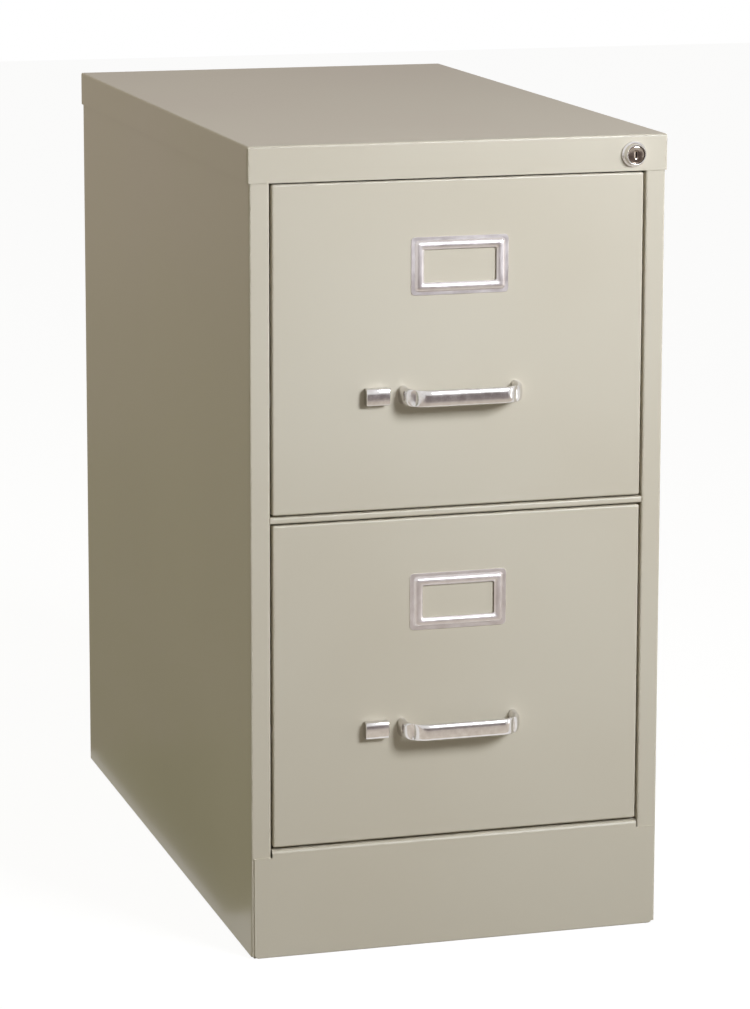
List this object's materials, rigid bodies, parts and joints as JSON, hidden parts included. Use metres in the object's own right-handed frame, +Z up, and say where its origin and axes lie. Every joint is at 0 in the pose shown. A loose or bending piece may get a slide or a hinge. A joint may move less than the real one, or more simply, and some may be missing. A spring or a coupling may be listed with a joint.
{
  "type": "filing cabinet",
  "caption": "Upright letter-size filing cabinet with full-extension drawers, arched pulls, thumb latches, label holders and a gang lock.",
  "frame": {"origin": "on the floor, under the middle of the object's bounding box", "axes": "+Z up, drawer fronts towards -Y, +X to the right as seen from the front"},
  "size_m": [0.381, 0.701, 0.7207],
  "materials": {
    "putty_paint": "semi-gloss baked enamel",
    "chrome": "bright chrome plate",
    "zinc_steel": "zinc-plated steel",
    "spring_steel": "oiled spring wire",
    "rubber": "matt black rubber",
    "nylon": "black nylon"
  },
  "bodies": {
    "cabinet": {"left_side_panel": "putty_paint", "right_side_panel": "putty_paint", "back_panel": "putty_paint", "top_cap": "putty_paint", "bottom_pan": "putty_paint", "base_glides": "nylon", "front_plinth": "putty_paint", "top_front_rail": "putty_paint", "middle_front_rail": "putty_paint", "left_front_upright": "putty_paint", "right_front_upright": "putty_paint", "left_rear_upright": "putty_paint", "right_rear_upright": "putty_paint", "cabinet_rail_screws": "zinc_steel", "slide_bumpers": "rubber", "lock_housing": "chrome", "lock_nut": "zinc_steel", "lock_bar_guides": "zinc_steel", "upper_left_cabinet_rail": "zinc_steel", "upper_right_cabinet_rail": "zinc_steel", "lower_left_cabinet_rail": "zinc_steel", "lower_right_cabinet_rail": "zinc_steel"},
    "lock_plug": {"lock_plug": "chrome", "lock_cam": "zinc_steel"},
    "lock_bar": {"lock_bar": "zinc_steel"},
    "upper_drawer": {"upper_drawer_front": "putty_paint", "upper_inner_front": "putty_paint", "upper_drawer_shell": "putty_paint", "upper_drawer_back": "putty_paint", "upper_label_holder": "chrome", "upper_handle": "chrome", "upper_handle_screws": "zinc_steel", "upper_left_drawer_rail": "zinc_steel", "upper_right_drawer_rail": "zinc_steel", "upper_lock_catch": "zinc_steel"},
    "upper_latch": {"upper_thumb_latch": "chrome", "upper_latch_bar": "zinc_steel", "upper_latch_spring": "spring_steel"},
    "upper_middle_rails": {"upper_left_middle_rail": "zinc_steel", "upper_right_middle_rail": "zinc_steel"},
    "upper_outer_cages": {"upper_outer_ball_cages": "zinc_steel"},
    "upper_inner_cages": {"upper_inner_ball_cages": "zinc_steel"},
    "lower_drawer": {"lower_drawer_front": "putty_paint", "lower_inner_front": "putty_paint", "lower_drawer_shell": "putty_paint", "lower_drawer_back": "putty_paint", "lower_label_holder": "chrome", "lower_handle": "chrome", "lower_handle_screws": "zinc_steel", "lower_left_drawer_rail": "zinc_steel", "lower_right_drawer_rail": "zinc_steel", "lower_lock_catch": "zinc_steel"},
    "lower_latch": {"lower_thumb_latch": "chrome", "lower_latch_bar": "zinc_steel", "lower_latch_spring": "spring_steel"},
    "lower_middle_rails": {"lower_left_middle_rail": "zinc_steel", "lower_right_middle_rail": "zinc_steel"},
    "lower_outer_cages": {"lower_outer_ball_cages": "zinc_steel"},
    "lower_inner_cages": {"lower_inner_ball_cages": "zinc_steel"}
  },
  "joints": [
    {"name": "upper_drawer_slide", "type": "slide", "parent": "cabinet", "child": "upper_drawer", "axis": [0, -1, 0], "range_m": [0, 0.6]},
    {"name": "upper_middle_rails_slide", "type": "slide", "parent": "cabinet", "child": "upper_middle_rails", "axis": [0, -1, 0], "range_m": [0, 0.3]},
    {"name": "upper_outer_cages_slide", "type": "slide", "parent": "cabinet", "child": "upper_outer_cages", "axis": [0, -1, 0], "range_m": [0, 0.15]},
    {"name": "upper_inner_cages_slide", "type": "slide", "parent": "cabinet", "child": "upper_inner_cages", "axis": [0, -1, 0], "range_m": [0, 0.45]},
    {"name": "upper_latch_slide", "type": "slide", "parent": "upper_drawer", "child": "upper_latch", "axis": [1, 0, 0], "range_m": [0, 0.007], "stiffness_N_per_m": 300, "springref_m": -0.003, "deforming": ["upper_latch_spring"]},
    {"name": "lower_drawer_slide", "type": "slide", "parent": "cabinet", "child": "lower_drawer", "axis": [0, -1, 0], "range_m": [0, 0.6]},
    {"name": "lower_middle_rails_slide", "type": "slide", "parent": "cabinet", "child": "lower_middle_rails", "axis": [0, -1, 0], "range_m": [0, 0.3]},
    {"name": "lower_outer_cages_slide", "type": "slide", "parent": "cabinet", "child": "lower_outer_cages", "axis": [0, -1, 0], "range_m": [0, 0.15]},
    {"name": "lower_inner_cages_slide", "type": "slide", "parent": "cabinet", "child": "lower_inner_cages", "axis": [0, -1, 0], "range_m": [0, 0.45]},
    {"name": "lower_latch_slide", "type": "slide", "parent": "lower_drawer", "child": "lower_latch", "axis": [1, 0, 0], "range_m": [0, 0.007], "stiffness_N_per_m": 300, "springref_m": -0.003, "deforming": ["lower_latch_spring"]},
    {"name": "lock_turn", "type": "hinge", "parent": "cabinet", "child": "lock_plug", "pos_m": [0.1589, -0.32255, 0.7037], "axis": [0, -1, 0], "range_deg": [0, 90]},
    {"name": "lock_bar_slide", "type": "slide", "parent": "cabinet", "child": "lock_bar", "axis": [0, 0, 1], "range_m": [0, 0.0099]}
  ],
  "couplings": [
    {"joint": "upper_middle_rails_slide", "follows": "upper_drawer_slide", "ratio": 0.5},
    {"joint": "upper_outer_cages_slide", "follows": "upper_drawer_slide", "ratio": 0.25},
    {"joint": "upper_inner_cages_slide", "follows": "upper_drawer_slide", "ratio": 0.75},
    {"joint": "lower_middle_rails_slide", "follows": "lower_drawer_slide", "ratio": 0.5},
    {"joint": "lower_outer_cages_slide", "follows": "lower_drawer_slide", "ratio": 0.25},
    {"joint": "lower_inner_cages_slide", "follows": "lower_drawer_slide", "ratio": 0.75},
    {"joint": "lock_turn", "follows": "lock_bar_slide", "rad_per_m": 158.67}
  ]
}
